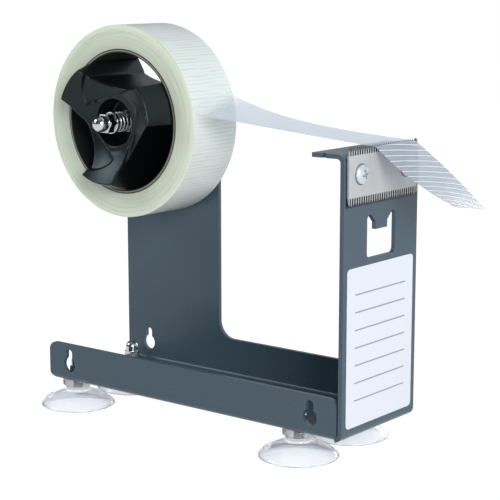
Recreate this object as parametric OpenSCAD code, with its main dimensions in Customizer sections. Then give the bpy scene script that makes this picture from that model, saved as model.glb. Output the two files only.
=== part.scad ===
// Desktop tape dispenser on suction-cup feet.
// A folded sheet frame carries a three-winged core hub with a spring brake, a roll of tape and a toothed cutter.
// Millimetres, +Z up. X runs from the roll to the cutter and Y from the front flange to the back wall.
// The origin is on the desk, under the middle of the whole dispenser.

/* [Frame] */
// Thickness of the folded sheet
sheet = 2.3; // [1.5:0.1:3]
// Inside radius of the folds
fold_r = 2; // [1:0.5:3]
// Length from the front flange's left end to the post's outer face
base_len = 204.5; // [190:0.5:240]
// Depth from the front flange's outer face to the back wall's outer face
base_depth = 66; // [62:0.5:80]
// Height of the base's underside above the desk
ride_h = 15; // [13:0.5:22]
// Height of the front flange above the base's underside
flange_h = 22; // [20:0.5:30]
// Height of the back wall's low strip above the base's underside
strip_h = 23; // [21:0.5:34]
// Corner radius of the flange and of the strip
flange_corner = 5; // [2:0.5:8]
// Gap between the ends of the flanges and the post
relief = 1; // [0.5:0.1:2]
// Distance from the front flange's left end to the arm's left edge
arm_inset = 3; // [0:0.5:8]
// Width of the arm
arm_w = 70.6; // [60:0.2:84]
// Height of the arm's top above the axle
arm_over = 18; // [12:0.5:24]
// Corner radius of the arm's top
arm_corner = 12; // [4:0.5:16]
// Fillet where the arm meets the low strip
arm_fillet = 10; // [4:0.5:16]
// Height of the post's top above the desk
post_top = 159; // [150:0.5:175]
// Length of the lip folded back from the post's top
lip_len = 19.3; // [12:0.1:24]
// Width of the notch in the lip's front edge
lip_notch_w = 2; // [1:0.1:3]
// Depth of the notch in the lip's front edge
lip_notch_d = 1.6; // [0.5:0.1:3]
// Distance of the notch from the lip's tip
lip_notch_in = 6.4; // [3:0.1:8]

/* [Keyholes] */
// Radius of a keyhole's round part
key_r = 4.4; // [3.5:0.1:5]
// Radius of a keyhole's slot
key_slot_r = 2.3; // [1.5:0.1:2.6]
// Rise from the round part's centre to the slot's end centre
key_rise = 6.6; // [5:0.1:7]
// Height of the front keyholes above the base's underside
key_h = 10.2; // [9.5:0.1:11]
// Height of the back keyholes above the base's underside
back_key_h = 12; // [9.5:0.1:13]
// Distance of the left front keyhole from the flange's left end
key_left = 15.5; // [12:0.1:24]
// Distance of the left back keyhole from the flange's left end
back_key_left = 19.2; // [14:0.1:30]
// Distance of the right keyholes from the post's outer face
key_right = 19.6; // [14:0.1:30]

/* [Window in the post] */
// Width of the window
window_w = 25.3; // [20:0.1:30]
// Height of the window to the top of its side slots
window_h = 21.7; // [18:0.1:26]
// Distance from the post's top to the window's top
window_drop = 31.8; // [29:0.1:38]
// Corner radius at the window's foot
window_corner = 2.5; // [1:0.1:4]
// Width of the tab that hangs into the window
tab_w = 10.4; // [8:0.1:13]
// Length of the tab
tab_len = 7.8; // [6:0.1:9]
// Height of the tab's sloped shoulders
tab_shoulder = 4.2; // [2:0.1:5]

/* [Tape] */
// Inside radius of the paper core
core_bore_r = 38.1; // [37:0.1:39]
// Wall of the paper core
core_wall = 2; // [1.5:0.1:4]
// Outside radius of the wound tape
roll_r = 53.3; // [46:0.1:66]
// Width of the tape
tape_w = 36; // [24:0.5:38]
// Distance from the back wall's inner face to the roll
roll_gap = 6; // [5.6:0.1:9]
// Thickness of the tape's free length
web_t = 0.3; // [0.2:0.05:0.5]
// Clearance of the free tape over the roll and the teeth
web_clear = 0.3; // [0.2:0.05:0.6]
// Angle above the axle at which the tape leaves the roll
web_leave = 15; // [8:1:24]
// Sideways drift of the tape between the roll and the cutter
web_drift = 4; // [0:0.1:5]
// Length of the free tail past the cutter
tail_len = 48; // [20:1:60]
// Slope of the tail's near edge
tail_slope = 29.5; // [15:0.5:40]
// Extra slope of the tail's far edge
tail_twist = 8; // [0:0.5:12]
// Radius of the bend over the cutter
tail_bend_r = 2.5; // [1.5:0.1:5]

/* [Spindle] */
// Height of the axle above the desk
axle_h = 163.3; // [150:0.1:175]
// Radius of the spindle bolt
bolt_r = 3; // [2.5:0.1:4]
// Length of the spindle bolt under its head
bolt_len = 60; // [56:0.5:62]
// Width across flats of the bolt's head and of its nuts
bolt_af = 10; // [9:0.5:13]
// Height of the bolt's head
bolt_head_h = 4; // [3:0.1:6]
// Outside radius of the spindle's washers
bolt_washer_r = 6; // [5.5:0.1:8]
// Thickness of the spindle's washers
bolt_washer_t = 1.6; // [1:0.1:2]
// Height of the thin nut that clamps the bolt to the arm
jam_nut_h = 3.2; // [2.5:0.1:3.5]
// Outside radius of the thrust washer behind the hub
thrust_r = 9; // [8:0.1:12]
// Thickness of the thrust washer
thrust_t = 1.5; // [1:0.1:1.6]
// Radial clearance of what turns on the bolt
run_clear = 0.05; // [0.02:0.01:0.1]
// Clearance between the hub and the thrust washer
end_clear = 0.1; // [0.05:0.05:0.3]

/* [Hub] */
// Clearance between the wings and the paper core
core_clear = 0.1; // [0.05:0.05:0.5]
// Direction of the first wing, from +X towards +Z
wing_angle = 27; // [0:1:119]
// Half angle of a wing's tip
tip_half = 14; // [10:1:20]
// Radius of the hub's waist between two wings
waist_r = 19.5; // [18:0.1:24]
// Angle by which the hollows between the wings lean back
wing_lean = 4; // [0:1:8]
// How far the wings' tips stand in front of the roll
tip_out = 15.4; // [12:0.1:18]
// Radius of the tips at their front edge
tip_front_r = 33.6; // [31:0.1:36]
// How far in front of the roll the tips begin to taper
taper_out = 1.2; // [0.5:0.1:4]
// Width of the land round the tips' front edge
tip_land = 0.6; // [0.3:0.1:2]
// Radius of the wings' dished front
bowl_r = 55; // [48:0.5:70]
// Depth of the beak on a tip's trailing side
beak_d = 8.5; // [5:0.1:10]
// Angle of the beak's edge from the wing's middle
beak_angle = 26; // [22:1:30]
// Radius of the edge of the floor sunk into each wing
floor_r = 17.4; // [14:0.1:20]
// Distance of the floor's centre along the wing
floor_along = 9.7; // [7:0.1:12]
// Distance of the floor's centre behind the wing's middle line
floor_behind = 11.3; // [9:0.1:13]
// Depth of the floor at the hub's middle
floor_d = 0.8; // [0.4:0.1:1.5]
// How far the floor's dish is set off towards the waist
floor_off = 6; // [3:0.1:8]
// Direction of that offset behind the wing's middle line
floor_turn = 80; // [60:1:90]
// Distance of a wing's straight leading edge from its middle line, at the tip
edge_out = 8; // [7:0.1:10]
// Angle by which the straight edge spreads towards the waist
edge_spread = 10.4; // [6:0.1:14]
// Radius of the dish in the middle of the hub
dish_r = 16.8; // [15.5:0.1:18]
// How far the dish's floor stands in front of the roll
dish_out = 6.2; // [4:0.1:8]
// Radius of the brake's recess
recess_r = 13; // [10:0.1:14]
// Depth of the brake's recess below the dish
recess_d = 12.7; // [11:0.1:14]
// Height of the stop lugs over the paper core's bore
lug_h = 2; // [1:0.1:3]

/* [Brake] */
// Outside radius of the brake spring
spring_r = 5.7; // [5:0.1:6]
// Radius of the spring's wire
wire_r = 0.6; // [0.4:0.05:0.65]
// Number of turns of the spring
spring_turns = 5; // [4:1:5]
// Length of the spring
spring_len = 12; // [11.5:0.1:13]
// Height of the brake nut's hexagon
brake_hex_h = 5; // [4:0.1:6]
// Height of the brake nut
brake_nut_h = 12; // [11.6:0.1:14]
// Radius of the brake nut's dome
brake_dome_r = 4.5; // [4:0.1:4.7]
// Depth of the brake nut's thread
brake_bore_d = 8.8; // [8.6:0.1:9]

/* [Cutter] */
// Length of the blade
blade_len = 60.8; // [50:0.1:62]
// Height of the blade over its teeth
blade_h = 28.5; // [24:0.1:31]
// Thickness of the blade
blade_t = 1; // [0.6:0.1:1.5]
// How far the blade stands above the post
blade_over = 3; // [2.5:0.1:5]
// Pitch of the teeth
tooth_pitch = 2; // [1.6:0.1:3]
// Depth of the teeth
tooth_d = 2.8; // [1.5:0.1:3.5]
// Corner radius at the blade's ends
blade_corner = 2; // [1:0.1:3]
// Distance of the screws from the blade's ends
screw_inset = 10.4; // [8:0.1:14]
// Radius of the blade's screws
screw_r = 2.5; // [2:0.1:3]
// Length of the blade's screws under the head
screw_len = 10; // [9:0.5:16]
// Radius of a screw's head
screw_head_r = 4.8; // [4:0.1:6]
// Height of a screw's head
screw_head_h = 3; // [2.2:0.1:4]

/* [Feet] */
// Radius of a suction cup's rim
cup_r = 21.1; // [18:0.1:24]
// Height of a suction cup's dome
cup_dome_h = 9; // [8:0.1:10]
// Thickness of a suction cup's rim
cup_rim_t = 0.8; // [0.5:0.1:1.5]
// Width of a suction cup's sealing edge
cup_seal_w = 1.6; // [1:0.1:3]
// Height of the hollow under a suction cup
cup_hollow_h = 5; // [3:0.1:5.5]
// Radius of the upper ring of a cup's neck
neck_r = 7; // [6:0.1:9]
// Radius of the lower ring of a cup's neck
neck_low_r = 5.7; // [4.5:0.1:5.9]
// Height of the upper ring of a cup's neck
neck_ring_h = 3; // [2:0.1:3.5]
// Width of a cup's release tab
pull_w = 3.4; // [2:0.1:5]
// Thickness of a cup's release tab
pull_t = 1.4; // [0.8:0.1:2]
// Height of a cup's release tab above the dome
pull_h = 2.4; // [1:0.1:4]
// Distance of the release tab from the cup's middle
pull_in = 16.5; // [14:0.1:17]
// Direction of the release tab, from +X towards +Y
pull_angle = 218; // [0:1:359]
// Distance of the left cups from the flange's left end
cup_left = 12.2; // [11:0.1:24]
// Distance of the right cups from the post's outer face
cup_right = 33.7; // [22:0.1:50]
// Distance of the cups from the outer faces of flange and back wall
cup_inset = 10; // [9.5:0.1:14]
// Radius of the cups' studs
stud_r = 2.5; // [2:0.1:2.7]
// Length of a stud inside its cup
stud_in = 5; // [3:0.1:6]
// Length of a stud above the base
stud_out = 8; // [6.5:0.1:8.3]

/* [Small hardware] */
// Width across flats of the small nuts
nut_af = 8; // [7.5:0.1:9]
// Height of the plain small nuts
nut_h = 4; // [3:0.1:5]
// Outside radius of the small washers
washer_r = 5; // [4.6:0.1:5.2]
// Thickness of the small washers
washer_t = 1; // [0.8:0.1:1.2]
// Height of a small dome nut
dome_nut_h = 10; // [9.6:0.1:12]
// Radius of a small dome nut's dome
dome_r = 3.7; // [3.3:0.1:3.75]
// Depth of a small dome nut's thread
dome_bore_d = 7.6; // [7.4:0.1:8]
// Radial clearance of a screw or stud in a sheet or washer
hole_clear = 0.1; // [0.05:0.05:0.3]

/* [Label] */
// Gap between the label and the window
label_gap = 3.2; // [2:0.1:8]
// Height of the label's foot above the base's underside
label_rise = 6.1; // [5:0.1:20]
// Distance of the label from the post's side edges
label_side = 3.4; // [2:0.1:8]
// Thickness of the label
label_t = 0.2; // [0.1:0.05:0.4]
// Corner radius of the label
label_corner = 2.5; // [1:0.1:5]

/* [Hidden] */
$fn = 64;
frame_colour = "#4d5c68";
steel_colour = "#b9bdc0";
zinc_colour = "#d5d9de";
plastic_colour = "#1b1e22";
tape_colour = "#e3e9dc";
core_colour = "#a58f78";
clear_colour = "#e6e8f0";
label_colour = "#f0f3fc";

// How far a cut runs past the faces that it opens
past = 1;

// Planes of the frame
fold_out = fold_r + sheet;
roll_past = roll_r - arm_inset - arm_w / 2;
tail_past = blade_t + tail_bend_r * sin(tail_slope) + tail_len * cos(tail_slope);
x_left = (roll_past - base_len - tail_past) / 2;
x_post = x_left + base_len;
y_front = -base_depth / 2;
y_back = base_depth / 2;
y_wall = y_back - sheet;
z_base = ride_h + sheet;
flange_len = base_len - sheet - relief;
wall_len = flange_len - arm_inset;
arm_h = axle_h + arm_over - ride_h;

// Axle, and the planes along it from the back wall to the front
axle_x = x_left + arm_inset + arm_w / 2;
y_thrust = y_wall - jam_nut_h;
y_hub_rear = y_thrust - thrust_t - end_clear;
y_roll_rear = y_wall - roll_gap;
y_roll = y_roll_rear - tape_w;
y_dish = y_roll - dish_out;
y_tip = y_roll - tip_out;
y_recess = y_dish + recess_d;
y_spring_rear = y_recess - bolt_washer_t;
y_spring_front = y_spring_rear - spring_len;
y_brake_nut = y_spring_front - bolt_washer_t;
y_bolt_head = y_back + bolt_washer_t;

// Hub: each hollow between two wings is cut by one large circle
tip_r = core_bore_r - core_clear;
hollow_half = 60 - tip_half;
hollow_d = (tip_r * tip_r - waist_r * waist_r) / (2 * (tip_r * cos(hollow_half) - waist_r));
hollow_r = hollow_d - waist_r;
bowl_ahead = sqrt(bowl_r * bowl_r - pow(tip_front_r - tip_land, 2));
hub_front = y_hub_rear - y_tip;
hub_taper = y_hub_rear - y_roll + taper_out;
lug_t = y_hub_rear - y_roll_rear - end_clear;

// Blade and label on the post
blade_z = post_top + blade_over - blade_h;
blade_y = -blade_len / 2;
screw_z = blade_z + blade_h / 2 + 0.7;
tooth_count = floor((blade_len - 2 * blade_corner) / tooth_pitch / 2) * 2;
window_z = post_top - window_drop - window_h;
label_z = ride_h + label_rise;
label_h = window_z - label_gap - label_z;

// Feet
cup_x = [x_left + cup_left, x_post - cup_right];
cup_y = [y_front + cup_inset, y_back - cup_inset];
cup_places = [for (x = cup_x) for (y = cup_y) [x, y]];
cup_arch = cup_dome_h - cup_rim_t;
cup_dome_r = (cup_r * cup_r + cup_arch * cup_arch) / (2 * cup_arch);
cup_open_r = cup_r - cup_seal_w;
cup_hollow_r = (cup_open_r * cup_open_r + cup_hollow_h * cup_hollow_h) / (2 * cup_hollow_h);

// Free tape: one cubic curve from the roll to the cutter, a bend over the teeth and a straight tail
web_steps = 16;
bend_steps = 4;
web_y = y_roll + 0.2;
web_over = post_top + blade_over + web_clear + web_t / 2;
web_start_r = roll_r + web_clear + web_t;
web_start = [axle_x + web_start_r * cos(web_leave), axle_h + web_start_r * sin(web_leave)];
web_end = [x_post + blade_t, web_over];
web_span = web_end[0] - web_start[0];
web_curve = [
    web_start,
    web_start + web_span * [0.26, -0.1],
    [web_start[0] + web_span * 0.6, web_over],
    web_end
];

function curve_at(c, t) = pow(1 - t, 3) * c[0] + 3 * t * pow(1 - t, 2) * c[1]
    + 3 * t * t * (1 - t) * c[2] + pow(t, 3) * c[3];
function curve_way(c, t) = pow(1 - t, 2) * (c[1] - c[0]) + 2 * t * (1 - t) * (c[2] - c[1]) + t * t * (c[3] - c[2]);
function unit(v) = v / norm(v);

// Stations of one edge of the free tape, each as [point, direction]
function web_sag(side) = [
    for (i = [0 : web_steps])
        [curve_at(web_curve, i / web_steps), unit(curve_way(web_curve, i / web_steps))]
];
function web_bend(slope) = [
    for (i = [1 : bend_steps])
        let (a = slope * i / bend_steps)
        [web_end + tail_bend_r * [sin(a), cos(a) - 1], [cos(a), -sin(a)]]
];
function web_tail(slope) =
    let (way = [cos(slope), -sin(slope)])
    [[web_end + tail_bend_r * [sin(slope), cos(slope) - 1] + tail_len * way, way]];
function web_edge(slope) = concat(web_sag(0), web_bend(slope), web_tail(slope));

// One corner of the tape's cross-section at a station
function web_corner(station, y, up) =
    let (p = station[0] + up * web_t / 2 * [-station[1][1], station[1][0]])
    [p[0], y, p[1]];

// Triangles of a tube made of rings of points, closed at both ends
function tube_faces(rings, sides) = concat(
    [for (i = [0 : rings - 2]) for (j = [0 : sides - 1])
        [i * sides + j, (i + 1) * sides + j, (i + 1) * sides + (j + 1) % sides]],
    [for (i = [0 : rings - 2]) for (j = [0 : sides - 1])
        [i * sides + j, (i + 1) * sides + (j + 1) % sides, i * sides + (j + 1) % sides]],
    [for (j = [1 : sides - 2]) [0, j, j + 1]],
    [for (j = [1 : sides - 2]) [(rings - 1) * sides, (rings - 1) * sides + j + 1, (rings - 1) * sides + j]]
);

// Brake spring: its wire runs straight out at both ends, square to the washers
curl_rings = 8;
wire_sides = 6;
coil_r = spring_r - wire_r;
coil_len = spring_len - 4 * wire_r;
coil_steps = spring_turns * curl_rings;
function coil_point(i) =
    let (a = 360 * i / curl_rings)
    [coil_r * cos(a), y_spring_front + 2 * wire_r + coil_len * i / coil_steps, coil_r * sin(a)];
coil_line = concat(
    [[coil_r, y_spring_front, 0]],
    [for (i = [0 : coil_steps]) coil_point(i)],
    [[coil_r, y_spring_rear, 0]]
);
coil_last = len(coil_line) - 1;
function coil_way(i) = i == 0 || i == coil_last ? [0, 1, 0]
    : unit(coil_line[i + 1] - coil_line[i - 1]);
function coil_ring(i) =
    let (p = coil_line[i], way = coil_way(i), out0 = unit([p[0], 0, p[2]]))
    let (out = unit(out0 - (out0 * way) * way), side = cross(way, out))
    [for (j = [0 : wire_sides - 1])
        p + wire_r * (cos(360 * j / wire_sides) * out + sin(360 * j / wire_sides) * side)];
coil_gap = min([for (i = [1 : coil_steps - curl_rings]) for (k = [curl_rings - 1 : curl_rings + 1])
    i + k <= coil_steps ? norm(coil_line[i + k] - coil_line[i]) - 2 * wire_r : spring_len]);

// Shared shapes

module rounded(w, h, r) {
    translate([r, 0]) square([w - 2 * r, h]);
    translate([0, r]) square([w, h - 2 * r]);
    for (x = [r, w - r]) for (y = [r, h - r]) translate([x, y]) circle(r);
}

module sector(r, from, to) {
    polygon([[0, 0], r * [cos(from), sin(from)], r * [cos((from + to) / 2), sin((from + to) / 2)], r * [cos(to), sin(to)]]);
}

// A quarter of a fold about the origin, in the quadrant below and left of it
module fold_quarter() {
    intersection() {
        difference() {
            circle(fold_out);
            circle(fold_r);
        }
        translate([-fold_out, -fold_out]) square(fold_out);
    }
}

// Cross-section of a folded flange of height h, with its outer face at the origin
module fold_profile(h) {
    translate([0, fold_out]) square([sheet, h - fold_out]);
    translate([fold_out, fold_out]) fold_quarter();
}

// Lays a flat outline in X and Z and gives it a depth from y_from towards +Y
module upright(y_from, depth) {
    translate([0, y_from + depth, 0]) rotate([90, 0, 0]) linear_extrude(depth) children();
}

// Lays a flat outline in Y and Z and gives it a length from x_from towards +X
module crosswise(x_from, length) {
    translate([x_from, 0, 0]) rotate([90, 0, 90]) linear_extrude(length) children();
}

module washer(r_out, r_in, t) {
    linear_extrude(t) difference() {
        circle(r_out);
        circle(r_in);
    }
}

module hexagon(af) {
    circle(af / 2 / cos(30), $fn = 6);
}

// A dome nut standing on the origin with its dome upwards
module dome_nut(af, hex_h, h, r_dome, r_bore, bore_d) {
    difference() {
        union() {
            linear_extrude(hex_h) hexagon(af);
            cylinder(r = r_dome, h = h - r_dome);
            translate([0, 0, h - r_dome]) sphere(r_dome);
        }
        cylinder(r = r_bore, h = bore_d);
    }
}

// Turns what stands on the origin so that it lies along the axle, its foot at y and its top towards the front
module on_axle(y) {
    translate([axle_x, y, axle_h]) rotate([90, 0, 0]) children();
}

// Places what stands on the origin at both blade screws, its foot at x and its top towards +X
module at_screws(x) {
    for (y = [blade_y + screw_inset, -blade_y - screw_inset])
        translate([x, y, screw_z]) rotate([0, 90, 0]) children();
}

module at_cups(z) {
    for (p = cup_places) translate([p[0], p[1], z]) children();
}

// Frame

module keyhole() {
    circle(key_r);
    translate([-key_slot_r, 0]) square([2 * key_slot_r, key_rise]);
    translate([0, key_rise]) circle(key_slot_r);
}

module flange_outline() {
    translate([x_left, ride_h]) {
        rounded(flange_len, flange_h, flange_corner);
        translate([flange_len - flange_corner, 0]) square(flange_corner);
    }
}

module wall_outline() {
    translate([x_left + arm_inset, ride_h]) {
        square([arm_w, arm_h - arm_corner]);
        translate([0, arm_h - 3 * arm_corner]) rounded(arm_w, 3 * arm_corner, arm_corner);
        square([wall_len, strip_h - flange_corner]);
        translate([arm_w, 0]) square([wall_len - arm_w - flange_corner, strip_h]);
        translate([wall_len - flange_corner, strip_h - flange_corner]) circle(flange_corner);
        translate([arm_w, strip_h]) difference() {
            square(arm_fillet);
            translate([arm_fillet, arm_fillet]) circle(arm_fillet);
        }
    }
}

module post_profile() {
    translate([x_post - fold_out, ride_h + fold_out]) mirror([1, 0]) fold_quarter();
    translate([x_post - sheet, ride_h + fold_out]) square([sheet, post_top - ride_h - 2 * fold_out]);
    translate([x_post - fold_out, post_top - fold_out]) rotate(180) fold_quarter();
    translate([x_post - lip_len, post_top - sheet]) square([lip_len - fold_out, sheet]);
}

module window_outline() {
    difference() {
        translate([-window_w / 2, window_z]) rounded(window_w, window_h, window_corner);
        translate([0, window_z + window_h]) polygon([
            [-tab_w / 2, -tab_len], [tab_w / 2, -tab_len], [tab_w / 2, -tab_shoulder],
            [tab_w / 2 + tab_shoulder, 0], [tab_w / 2 + tab_shoulder, sheet],
            [-tab_w / 2 - tab_shoulder, sheet], [-tab_w / 2 - tab_shoulder, 0], [-tab_w / 2, -tab_shoulder]
        ]);
    }
}

module frame() {
    color(frame_colour) difference() {
        union() {
            translate([x_left + arm_inset, y_front + fold_out, ride_h])
                cube([base_len - arm_inset - fold_out, base_depth - 2 * fold_out, sheet]);
            intersection() {
                translate([0, y_front, ride_h]) crosswise(x_left, flange_len) fold_profile(flange_h);
                upright(y_front, fold_out) flange_outline();
            }
            intersection() {
                translate([0, y_back, ride_h]) crosswise(x_left, flange_len) mirror([1, 0]) fold_profile(arm_h);
                upright(y_back - fold_out, fold_out) wall_outline();
            }
            upright(y_front, base_depth) post_profile();
        }
        upright(y_front - past, sheet + 2 * past) {
            translate([x_left + key_left, ride_h + key_h]) keyhole();
            translate([x_post - key_right, ride_h + key_h]) keyhole();
        }
        upright(y_wall - past, sheet + 2 * past) {
            translate([x_left + back_key_left, ride_h + back_key_h]) keyhole();
            translate([x_post - key_right, ride_h + back_key_h]) keyhole();
        }
        crosswise(x_post - sheet - past, sheet + 2 * past) window_outline();
        translate([x_post - lip_len + lip_notch_in, y_front - past, post_top - sheet - past])
            cube([lip_notch_w, lip_notch_d + past, sheet + 2 * past]);
        at_cups(ride_h - past) cylinder(r = stud_r + hole_clear, h = sheet + 2 * past);
        at_screws(x_post - sheet - past) cylinder(r = screw_r + hole_clear, h = sheet + 2 * past);
        on_axle(y_back + past) cylinder(r = bolt_r + hole_clear, h = sheet + 2 * past);
    }
}

// Roll

// Turns a copy to each of the three wings, its middle line along +X
module each_wing() {
    for (i = [0 : 2]) rotate(wing_angle + 120 * i) children();
}

// The hub before it is hollowed: a drum with stop lugs behind and a tapered lead-in at the front
module hub_drum() {
    rotate_extrude() polygon([
        [0, 0], [tip_r + lug_h, 0], [tip_r + lug_h, lug_t], [tip_r, lug_t],
        [tip_r, hub_taper], [tip_front_r, hub_front], [0, hub_front]
    ]);
}

// The hollow behind a wing, short of the beak on the wing's tip
module hollow_outline() {
    difference() {
        rotate(-60 - wing_lean) translate([hollow_d, 0]) circle(hollow_r);
        difference() {
            sector(3 * tip_r, -beak_angle, 0);
            circle(tip_r - beak_d);
        }
    }
}

// The sunk floor behind a wing's raised face, as far as the straight edge of the wing before it
module floor_outline() {
    intersection() {
        translate([floor_along, -floor_behind]) circle(floor_r);
        rotate(-120) translate([tip_front_r, edge_out]) rotate(-edge_spread) translate([-3 * tip_r, 0])
            square([4 * tip_r, 2 * tip_r]);
    }
}

module core_hub() {
    color(plastic_colour) difference() {
        on_axle(y_hub_rear) hub_drum();
        on_axle(y_hub_rear + past) each_wing() linear_extrude(hub_front + 2 * past) hollow_outline();
        on_axle(y_tip) translate([0, 0, bowl_ahead]) sphere(bowl_r);
        on_axle(y_tip) each_wing() intersection() {
            translate([floor_off * cos(floor_turn), -floor_off * sin(floor_turn), bowl_ahead - floor_d])
                sphere(bowl_r);
            translate([0, 0, -hub_front]) linear_extrude(hub_front + past) floor_outline();
        }
        on_axle(y_dish) cylinder(r = dish_r, h = y_dish - y_tip + past);
        on_axle(y_recess) cylinder(r = recess_r, h = y_recess - y_tip + past);
        on_axle(y_hub_rear + past) cylinder(r = bolt_r + run_clear, h = y_hub_rear - y_recess + 2 * past);
    }
}

module tape_core() {
    color(core_colour) on_axle(y_roll_rear) washer(core_bore_r + core_wall, core_bore_r, tape_w);
}

module tape_roll() {
    color(tape_colour) on_axle(y_roll_rear)
        washer(roll_r, core_bore_r + core_wall + run_clear, tape_w);
}

module tape_web() {
    near = web_edge(tail_slope);
    far = web_edge(tail_slope + tail_twist);
    last = len(near) - 1;
    points = [for (i = [0 : last])
        let (y = web_y + web_drift * min(1, i / web_steps))
        each [
            web_corner(near[i], y, -1), web_corner(far[i], y + tape_w, -1),
            web_corner(far[i], y + tape_w, 1), web_corner(near[i], y, 1)
        ]];
    color(tape_colour) polyhedron(points, tube_faces(last + 1, 4));
}

// Spindle and brake

module spindle_bolt() {
    color(zinc_colour) {
        on_axle(y_bolt_head) cylinder(r = bolt_r, h = bolt_len);
        on_axle(y_bolt_head + bolt_head_h) linear_extrude(bolt_head_h) hexagon(bolt_af);
    }
}

module spindle_washer() {
    color(zinc_colour) on_axle(y_bolt_head) washer(bolt_washer_r, bolt_r + hole_clear, bolt_washer_t);
}

module spindle_jam_nut() {
    color(zinc_colour) on_axle(y_wall) linear_extrude(jam_nut_h) difference() {
        hexagon(bolt_af);
        circle(bolt_r);
    }
}

module thrust_washer() {
    color(zinc_colour) on_axle(y_thrust) washer(thrust_r, bolt_r + hole_clear, thrust_t);
}

module brake_washer_inner() {
    color(zinc_colour) on_axle(y_recess) washer(bolt_washer_r, bolt_r + run_clear, bolt_washer_t);
}

module brake_spring() {
    echo(least_gap_between_curls = coil_gap);
    color(steel_colour) translate([axle_x, 0, axle_h])
        polyhedron([for (i = [0 : coil_last]) each coil_ring(i)], tube_faces(coil_last + 1, wire_sides));
}

module brake_washer_outer() {
    color(zinc_colour) on_axle(y_spring_front) washer(bolt_washer_r, bolt_r + run_clear, bolt_washer_t);
}

module brake_dome_nut() {
    color(zinc_colour) on_axle(y_brake_nut)
        dome_nut(bolt_af, brake_hex_h, brake_nut_h, brake_dome_r, bolt_r + run_clear, brake_bore_d);
}

// Cutter and label

module blade_outline() {
    half = tooth_count * tooth_pitch / 2;
    top = blade_h / 2;
    difference() {
        translate([-blade_len / 2, -top]) rounded(blade_len, blade_h, blade_corner);
        for (edge = [-1, 1]) for (i = [0 : tooth_count - 1])
            translate([-half + (i + 0.5) * tooth_pitch, edge * top]) polygon([
                [-tooth_pitch / 2, 0], [0, -edge * tooth_d], [tooth_pitch / 2, 0], [0, edge]
            ]);
    }
}

module cutter_blade() {
    color(steel_colour) difference() {
        translate([0, 0, blade_z + blade_h / 2]) crosswise(x_post, blade_t) blade_outline();
        at_screws(x_post - past) cylinder(r = screw_r + hole_clear, h = blade_t + 2 * past);
    }
}

module pan_head() {
    ball_r = (screw_head_r * screw_head_r + screw_head_h * screw_head_h) / (2 * screw_head_h) + 2;
    difference() {
        intersection() {
            cylinder(r = screw_head_r, h = screw_head_h);
            translate([0, 0, screw_head_h - ball_r]) sphere(ball_r);
        }
        for (a = [0, 90]) rotate(a + 20)
            translate([-screw_r, -screw_head_h / 5, screw_head_h / 3]) cube([2 * screw_r, 0.4 * screw_head_h, screw_head_h]);
    }
}

module blade_screws() {
    color(zinc_colour) at_screws(x_post + blade_t) {
        pan_head();
        translate([0, 0, -screw_len]) cylinder(r = screw_r, h = screw_len);
    }
}

module blade_washers() {
    color(zinc_colour) at_screws(x_post - sheet - washer_t) washer(washer_r, screw_r + hole_clear, washer_t);
}

module blade_nuts() {
    color(zinc_colour) at_screws(x_post - sheet - washer_t - nut_h) linear_extrude(nut_h) difference() {
        hexagon(nut_af);
        circle(screw_r);
    }
}

module blank_label() {
    color(label_colour) translate([0, y_front + label_side, label_z])
        crosswise(x_post, label_t) rounded(base_depth - 2 * label_side, label_h, label_corner);
}

// Feet

module suction_cup(place) {
    color(clear_colour) translate([place[0], place[1], 0]) difference() {
        union() {
            intersection() {
                translate([0, 0, cup_dome_h - cup_dome_r]) sphere(cup_dome_r);
                cylinder(r = cup_r, h = cup_dome_h);
            }
            translate([0, 0, cup_hollow_h]) cylinder(r = neck_low_r, h = ride_h - cup_hollow_h);
            translate([0, 0, ride_h - neck_ring_h]) cylinder(r = neck_r, h = neck_ring_h);
            rotate(pull_angle) translate([pull_in, 0, 0]) release_tab();
        }
        translate([0, 0, cup_hollow_h - cup_hollow_r]) sphere(cup_hollow_r);
        translate([0, 0, ride_h - stud_in]) cylinder(r = stud_r, h = stud_in);
    }
}

// A small upright ear on the dome, standing across the way to the cup's middle
module release_tab() {
    top = cup_dome_h - cup_dome_r + sqrt(cup_dome_r * cup_dome_r - pull_in * pull_in) + pull_h;
    translate([-pull_t / 2, 0, cup_rim_t]) rotate([90, 0, 90]) linear_extrude(pull_t) {
        translate([-pull_w / 2, 0]) square([pull_w, top - cup_rim_t - pull_w / 2]);
        translate([0, top - cup_rim_t - pull_w / 2]) circle(pull_w / 2);
    }
}

module suction_cup_front_left() suction_cup(cup_places[0]);
module suction_cup_rear_left() suction_cup(cup_places[1]);
module suction_cup_front_right() suction_cup(cup_places[2]);
module suction_cup_rear_right() suction_cup(cup_places[3]);

module cup_studs() {
    color(zinc_colour) at_cups(ride_h - stud_in) cylinder(r = stud_r, h = stud_in + sheet + stud_out);
}

module cup_washers() {
    color(zinc_colour) at_cups(z_base) washer(washer_r, stud_r + hole_clear, washer_t);
}

module cup_dome_nuts() {
    color(zinc_colour) at_cups(z_base + washer_t)
        dome_nut(nut_af, nut_h, dome_nut_h, dome_r, stud_r, dome_bore_d);
}

frame();
core_hub();
tape_core();
tape_roll();
tape_web();
spindle_bolt();
spindle_washer();
spindle_jam_nut();
thrust_washer();
brake_washer_inner();
brake_spring();
brake_washer_outer();
brake_dome_nut();
cutter_blade();
blade_screws();
blade_washers();
blade_nuts();
blank_label();
suction_cup_front_left();
suction_cup_front_right();
suction_cup_rear_left();
suction_cup_rear_right();
cup_studs();
cup_washers();
cup_dome_nuts();
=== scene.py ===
"""Desktop tape dispenser: finished pieces, a plain stage and a camera, on the dispenser's packed frame."""

import functools
import math

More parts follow.
